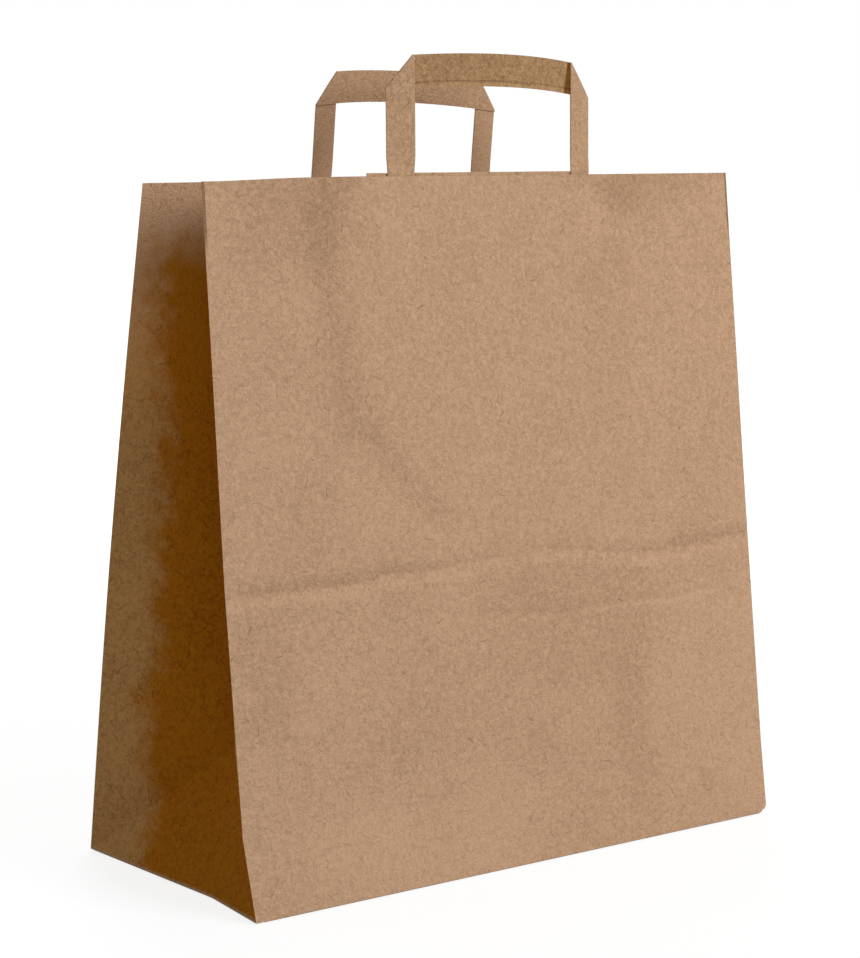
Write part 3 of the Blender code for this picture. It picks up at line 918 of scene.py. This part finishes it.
def sheet_material(kraft, shape):
    """Kraft paper with painted shade and highlights along its folds, its press line and its
    gussets, placed by the flat sheet's own UV map, where across runs from the front's middle round
    both sides."""
    material, maker, place = new_material("kraft_sheet")
    flat = maker.node("ShaderNodeUVMap", {"uv_map": "flat_sheet"})
    across, up, _ = flat.parts()
    dark, height = kraft_grain(maker, place, flat, kraft)
    wander = maker.noise(place, 34.0, 2.0, 0.5) - 0.5
    side = abs(across)
    near, far = shape.half_width, shape.half_width + 2 * shape.half_depth
    front = side.ramp(near + 0.0001, near - 0.0001)
    gusset = side.ramp(near, near + 0.0003) * side.ramp(far, far - 0.0003)
    gusset = gusset * up.ramp(0.0, 0.002)
    blotch = maker.noise(place, 120.0, 2.0) - 0.5
    # The gussets' painted shade and light: in full on the left gusset, a share on the right;
    # painted shade lies deep in the folds
    left = across.ramp(0.0, -0.001) * (1.0 - RIGHT_GUSSET_SHADE_SHARE) + RIGHT_GUSSET_SHADE_SHARE
    fold_shade = gusset * left * gusset_shade_mask(shape, side, up, wander, blotch)
    # Painted shade and highlights on the front, and soft patches
    marks = front_shading_and_patches(maker, place, across, up, wander, shape.press)
    dark = dark * (gusset * 0.8 + 1.0) + front * marks
    # Off the front, painted shade just above the press line and a painted highlight below it; the
    # gussets are also painted lighter towards their top
    press_shading = up + wander * 0.004 - shape.press
    press_shading = press_shading.line(0.0015, 0.0030) - press_shading.line(-0.0035, 0.0035)
    dark = dark + (1.0 - front) * press_shading * 0.06 - gusset * up.ramp(0.20, 0.28) * 0.17
    # Painted shade: a thin dark line along the front's side folds near the top
    corner_shade_line = side.ramp(near - 0.0010, near - 0.0006) * front * up.ramp(0.300, 0.322)
    colour_wire = paper_colour(maker, kraft.sheet, dark + corner_shade_line * 1.05)
    # Painted shade: the left gusset below its top is tinted warmer and darker, as in its shade
    strip = gusset * left * up.ramp(0.345, 0.240)
    colour_wire = maker.mix(strip, colour_wire, SHADE_TINT_TONE, "MULTIPLY")
    # Painted light: a lighter band high on the left gusset, weaker where the painted fold shade is
    painted_light = gusset * left * up.line(0.265, 0.065) * (1.0 - fold_shade * 0.7)
    colour_wire = maker.mix(painted_light, colour_wire, PAINTED_LIGHT_TONE, "MULTIPLY")
    # painted shade deep in the gussets' folds
    colour_wire = maker.mix(fold_shade, colour_wire, FOLD_SHADE_TONE, "MULTIPLY")
    finish_paper(maker, colour_wire, paper_roughness(maker, place, 0.76), height)
    return material


def front_shading_and_patches(maker, place, across, up, wander, press_height):
    """How much darker the front is, as a share: painted shade above its press line and a painted
    highlight below it, a painted highlight on its second fold with painted shade above it, painted
    shade along the left gusset's imprint and lighter paint right of the right one's, and the soft
    patches. The lines run as in press_place and front_imprint."""
    turn, start = PRESS_WAVE_TURN
    sway = across.ramp(*PRESS_WAVE_STARTS) * (across * turn + start).math("SINE")
    middle = across.ramp(*PRESS_RISES) * across.ramp(*PRESS_SINKS[::-1])
    line = press_height + sway * PRESS_WAVE - (1.0 - middle) * PRESS_SAG
    from_press = up - line + wander * 0.006
    strong = 1.0 - across.line(0.01, 0.10) * 0.8
    # painted shade above the press line, a painted highlight below it
    press = from_press.line(0.003, 0.007) * 0.050 * strong + from_press.line(0.001, 0.0016) * 0.05
    press = press - from_press.line(-0.0045, 0.0055) * 0.055 * strong
    broken = maker.noise(place, 48.0, 1.0).ramp(0.38, 0.52) * 0.6 + across.ramp(0.085, 0.100)
    broken = broken.math("MINIMUM", 1.0) * across.ramp(-0.03, 0.01) * across.ramp(0.145, 0.115)
    # a painted highlight on the second fold, painted shade just above it
    from_second = up - SECOND_FOLD + wander * 0.008
    second = (from_second.line(0.0, 0.0026) - from_second.line(0.0035, 0.0028) * 0.6) * broken
    # painted shade along the left gusset's imprint, and paint lighter right of the right one's
    winding = up.line(0.298, 0.060) * -0.014 + up.ramp(0.235, 0.150) * 0.055 - 0.087
    left = (across - winding + wander * 0.018).line(0.0, 0.019) * up.ramp(0.158, 0.180)
    left = left * (up.ramp(0.20, 0.24) * 0.9 + 0.9)
    right = (across + wander * 0.012).ramp(0.084, 0.094) * up.ramp(0.135, 0.110)
    marks = press - second * 0.11 + left * 0.07 - right * 0.05
    for centre, half_size, strength in SOFT_PATCHES:
        spot = soft_patch(across + wander * 0.03, up + wander * 0.03, centre, half_size)
        marks = marks + spot * strength
    return marks


def gusset_shade_mask(shape, side, up, wander, blotch):
    """1 where a gusset has its painted shade, deep in its fold: it starts nearer its middle crease
    towards the foot, fills the front half of the tucked triangle and fades out near the top edge."""
    half, middle = shape.half_depth, shape.half_width + shape.half_depth
    depth = 1.0 - abs(side - middle) / half
    triangle = (depth * half - up).ramp(-0.001, 0.001)
    depth = depth.math("MAXIMUM", side.ramp(middle + 0.001, middle - 0.001) * triangle)
    start = (0.60 - up * 1.4).math("MINIMUM", 0.36)
    start = start + (0.050 - up).math("MAXIMUM", 0.0) * 4.5 + wander * 0.22 + blotch * 0.35
    return (up + blotch * 0.02).ramp(0.320, 0.293) * (depth - start).ramp(-0.15, 0.13)


def inside_material(kraft):
    """The sheet's inner face: plain kraft paper."""
    material, maker, place = new_material("kraft_inside")
    flat = maker.node("ShaderNodeUVMap", {"uv_map": "flat_sheet"})
    dark, height = kraft_grain(maker, place, flat, kraft)
    colour_wire = paper_colour(maker, kraft.sheet, dark + 0.02)
    finish_paper(maker, colour_wire, paper_roughness(maker, place, 0.78), height)
    return material


def tape_material(name, kraft, half_strip=0.0):
    """The tape's paper. On its second face the strip between the legs has painted shade and the
    legs are painted lighter; along the strip's lower edge the glued fold shows as a raised rim with
    a painted highlight and a groove with painted shade, and a painted shadow lies where the strip
    goes behind its right leg."""
    material, maker, place = new_material(name)
    flat = maker.node("ShaderNodeUVMap", {"uv_map": "flat_sheet"})
    dark, height = kraft_grain(maker, place, flat, kraft)
    dark = dark * 1.25
    colour_wire = paper_colour(maker, kraft.tape, dark)
    if half_strip:
        across, along, _ = flat.parts()
        strip = abs(along).ramp(half_strip + 0.0002, half_strip)
        edge = across + (maker.noise(place, 60.0, 1.0) - 0.5) * 0.0008
        rim = edge.ramp(0.0022, 0.0016) * strip
        groove = edge.line(0.0024, 0.0007) * strip
        # Painted shade on the strip, the legs painted lighter, a painted highlight on the rim and
        # painted shade in the groove
        dark = dark + strip * 0.34 - 0.10 - rim * 0.09 + groove * 0.10
        height = height + rim * 0.4 - groove * 0.4
        # Painted shadow where the strip goes behind its right leg
        end = half_strip - LEG_SHADOW_FROM_END + across * 0.20
        leg_shadow = (along - end).ramp(-0.0004, 0.0008) * strip
        colour_wire = paper_colour(maker, kraft.tape, dark)
        colour_wire = maker.mix(strip, colour_wire, STRIP_SHADE_TONE, "MULTIPLY")
        colour_wire = maker.mix(leg_shadow, colour_wire, LEG_SHADOW_TONE, "MULTIPLY")
    finish_paper(maker, colour_wire, paper_roughness(maker, place, 0.76), height)
    return material


def edge_material(kraft):
    """The tape's cut edge: paler, as open fibres are, and partly painted light that lifts the edge
    out of its shade.
    """
    material, maker, place = new_material("kraft_tape_edge")
    dark = (maker.noise(place, 900.0, 2.0) - 0.5) * 0.5
    pale = [min(1.0, c * CUT_EDGE_PALER) for c in kraft.tape]
    colour_wire = paper_colour(maker, pale, dark)
    finish_paper(maker, colour_wire, maker.noise(place, 300.0) * 0.1 + 0.85, dark)
    return material


def settings_of(context):
    """The settings of the sheet, the handles, the paper and the stage."""
    scene = context.scene
    return scene.bag_sheet, scene.bag_handles, scene.bag_kraft, scene.bag_stage


def both_panels(shape, handles):
    """The side and the frame of each panel with a handle."""
    return [(side, PanelFrame(shape, handles, side == "back")) for side in ("front", "back")]


def dress(obj, node):
    """Seats a finished piece in the frame in place of a CAD node."""
    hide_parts(node)
    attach(obj, "root")


class BAG_OT_sheet(bpy.types.Operator):
    """Make the folded sheet with its two base flaps"""

    bl_idname = "paper_bag.sheet"
    bl_label = "Folded sheet"

    def execute(self, context):
        sheet, handles, kraft, _ = settings_of(context)
        shape = SheetShape(sheet, handles)
        papers = sheet_material(kraft, shape), inside_material(kraft)
        bag = make_object("kraft_bag", sheet_grids(shape), *papers)
        give_wall(bag, shape.paper, 1)
        flaps = (
            flap_mesh("front_flap", shape, 1, shape.paper),
            flap_mesh("back_flap", shape, -1, 0.0),
        )
        join_meshes(bag, flaps)
        dress(bag, "bag_body")
        return {"FINISHED"}


class BAG_OT_handles(bpy.types.Operator):
    """Make the two folded tape handles"""

    bl_idname = "paper_bag.handles"
    bl_label = "Tape handles"

    def execute(self, context):
        sheet, handles, kraft, _ = settings_of(context)
        shape = SheetShape(sheet, handles)
        plain = tape_material("kraft_tape", kraft)
        half_strip = (handles.width - handles.tape_width) / 2
        folded = tape_material("kraft_tape_folded", kraft, half_strip)
        edge = edge_material(kraft)
        for side, panel in both_panels(shape, handles):
            tape = make_object(f"{side}_tape_handle", [panel.tape_grid()], plain, folded, edge)
            give_wall(tape, handles.thickness, 1, 2)
            dress(tape, f"{side}_handle")
        return {"FINISHED"}


class BAG_OT_patches(bpy.types.Operator):
    """Make the paper patches over the handles' ends"""

    bl_idname = "paper_bag.patches"
    bl_label = "Handle patches"

    def execute(self, context):
        sheet, handles, kraft, _ = settings_of(context)
        shape = SheetShape(sheet, handles)
        paper = tape_material("kraft_patch", kraft)
        for side, panel in both_panels(shape, handles):
            patch = make_object(f"{side}_patch", [panel.patch_grid()], paper)
            give_wall(patch, shape.paper)
            dress(patch, f"{side}_handle_patch")
        return {"FINISHED"}


def seen_mask(maker):
    """1 for rays from the camera, a mirror or glass, which see the pale studio."""
    rays = [
        maker.node("ShaderNodeLightPath", None, (), name)
        for name in ("Is Camera Ray", "Is Glossy Ray", "Is Transmission Ray")
    ]
    return rays[0].math("MAXIMUM", rays[1]).math("MAXIMUM", rays[2])


def floor_material(stage):
    """Plain pale paper; seen directly it is nearly white, white further out, and keeps the bag's
    shadow."""
    material, maker, place = new_material("studio_floor")
    seen = seen_mask(maker)
    reach = maker.node("ShaderNodeVectorMath", {"operation": "LENGTH"}, (place,), 1)
    surface = maker.mix(seen, [*stage.floor, 1.0], FLOOR_SHADE)
    diffuse = maker.node("ShaderNodeBsdfDiffuse", None, {"Color": surface})
    strength = seen * (reach.ramp(0.4, 1.6) * FLOOR_GLOW_FURTHER_OUT + FLOOR_GLOW)
    glow = maker.node("ShaderNodeEmission", None, {"Color": WHITE, "Strength": strength})
    both = maker.node("ShaderNodeAddShader", None, (diffuse, glow))
    maker.node("ShaderNodeOutputMaterial", None, (both,))
    return material


class BAG_OT_stage(bpy.types.Operator):
    """Make the floor, the lights and the camera"""

    bl_idname = "paper_bag.stage"
    bl_label = "Studio"

    def execute(self, context):
        stage = context.scene.bag_stage
        self.floor(stage)
        self.world(stage)
        self.lamp("key", stage.key_power, KEY_PLACE)
        self.lamp("back", stage.back_power, BACK_PLACE)
        self.camera(context)
        return {"FINISHED"}

    def floor(self, stage):
        """A round floor: rings of points at growing radii."""
        angle = np.linspace(0.0, 2 * math.pi, 65)[None, :]
        radius = np.array(FLOOR_RINGS)[:, None]
        points = stack(radius * np.cos(angle), radius * np.sin(angle), -FLOOR_DROP)
        grid = laid_flat(points, points[..., 0], points[..., 1])
        floor = make_object("floor", [grid], floor_material(stage))
        if floor.data.polygons[0].normal.z < 0:
            floor.data.flip_normals()

    def world(self, stage):
        """Even light: white to the rays that see the studio, the fill's strength to all others."""
        world = bpy.data.worlds.new("studio")
        world.use_nodes = True
        world.node_tree.nodes.clear()
        maker = Maker(world.node_tree)
        seen = seen_mask(maker)
        strength = seen * (1.0 - stage.fill) + stage.fill
        values = {"Color": WHITE, "Strength": strength}
        light = maker.node("ShaderNodeBackground", None, values)
        maker.node("ShaderNodeOutputWorld", None, (light,))
        bpy.context.scene.world = world

    def lamp(self, name, power, place):
        """A soft round lamp that faces the middle of the bag."""
        light = bpy.data.lights.new(name, "AREA")
        light.shape = "DISK"
        light.size = LAMP_SIZE
        light.energy = power
        away = unit(np.array(place) - np.array(LAMP_TARGET))
        side = unit(np.cross((0.0, 0.0, 1.0), away))
        self.put(bpy.data.objects.new(name, light), (side, np.cross(away, side), away), place)

    def camera(self, context):
        """The camera of the photo, turned by its yaw, pitch and roll."""
        yaw, pitch, roll = (math.radians(turn) for turn in CAMERA_TURNS)
        ahead = (
            math.sin(yaw) * math.cos(pitch),
            math.cos(yaw) * math.cos(pitch),
            math.sin(pitch),
        )
        right = np.array((math.cos(yaw), -math.sin(yaw), 0.0))
        over = np.cross(right, ahead)
        axes = (
            math.cos(roll) * right + math.sin(roll) * over,
            math.cos(roll) * over - math.sin(roll) * right,
            -np.array(ahead),
        )
        lens = bpy.data.cameras.new("camera")
        lens.lens = CAMERA_LENS
        lens.sensor_width = 36.0
        lens.clip_end = 100.0
        camera = bpy.data.objects.new("camera", lens)
        self.put(camera, axes, CAMERA_PLACE)
        context.scene.camera = camera

    def put(self, obj, axes, place):
        """Turns an object's own x, y and z to three axes and moves it to a place."""
        turn = Matrix([[float(axis[row]) for axis in axes] for row in range(3)]).to_4x4()
        obj.matrix_world = Matrix.Translation([float(c) for c in place]) @ turn
        bpy.context.scene.collection.objects.link(obj)


class BAG_PT_panel(bpy.types.Panel):
    """Lists the settings and the steps"""

    bl_label = "Paper bag"
    bl_space_type = "VIEW_3D"
    bl_region_type = "UI"
    bl_category = "Paper bag"

    def draw(self, context):
        for group, operator in (
            (context.scene.bag_sheet, "paper_bag.sheet"),
            (context.scene.bag_handles, "paper_bag.handles"),
            (context.scene.bag_kraft, "paper_bag.patches"),
            (context.scene.bag_stage, "paper_bag.stage"),
        ):
            box = self.layout.box()
            for name in type(group).__annotations__:
                box.prop(group, name)
            box.operator(operator)


GROUPS = {
    "bag_sheet": SheetSettings,
    "bag_handles": HandleSettings,
    "bag_kraft": KraftSettings,
    "bag_stage": StageSettings,
}
PARTS = (BAG_OT_sheet, BAG_OT_handles, BAG_OT_patches, BAG_OT_stage, BAG_PT_panel)
CLASSES = (*GROUPS.values(), *PARTS)


def register():
    """Adds the classes, and a group of settings of each kind to the scene."""
    for each in CLASSES:
        bpy.utils.register_class(each)
    for name, group in GROUPS.items():
        setattr(bpy.types.Scene, name, PointerProperty(type=group))


def unregister():
    for name in GROUPS:
        delattr(bpy.types.Scene, name)
    for each in reversed(CLASSES):
        bpy.utils.unregister_class(each)


def main():
    """Makes the bag and its studio."""
    register()
    bpy.ops.paper_bag.sheet()
    bpy.ops.paper_bag.handles()
    bpy.ops.paper_bag.patches()
    bpy.ops.paper_bag.stage()
    bpy.context.scene.view_settings.view_transform = "Standard"


if __name__ == "__main__":
    main()
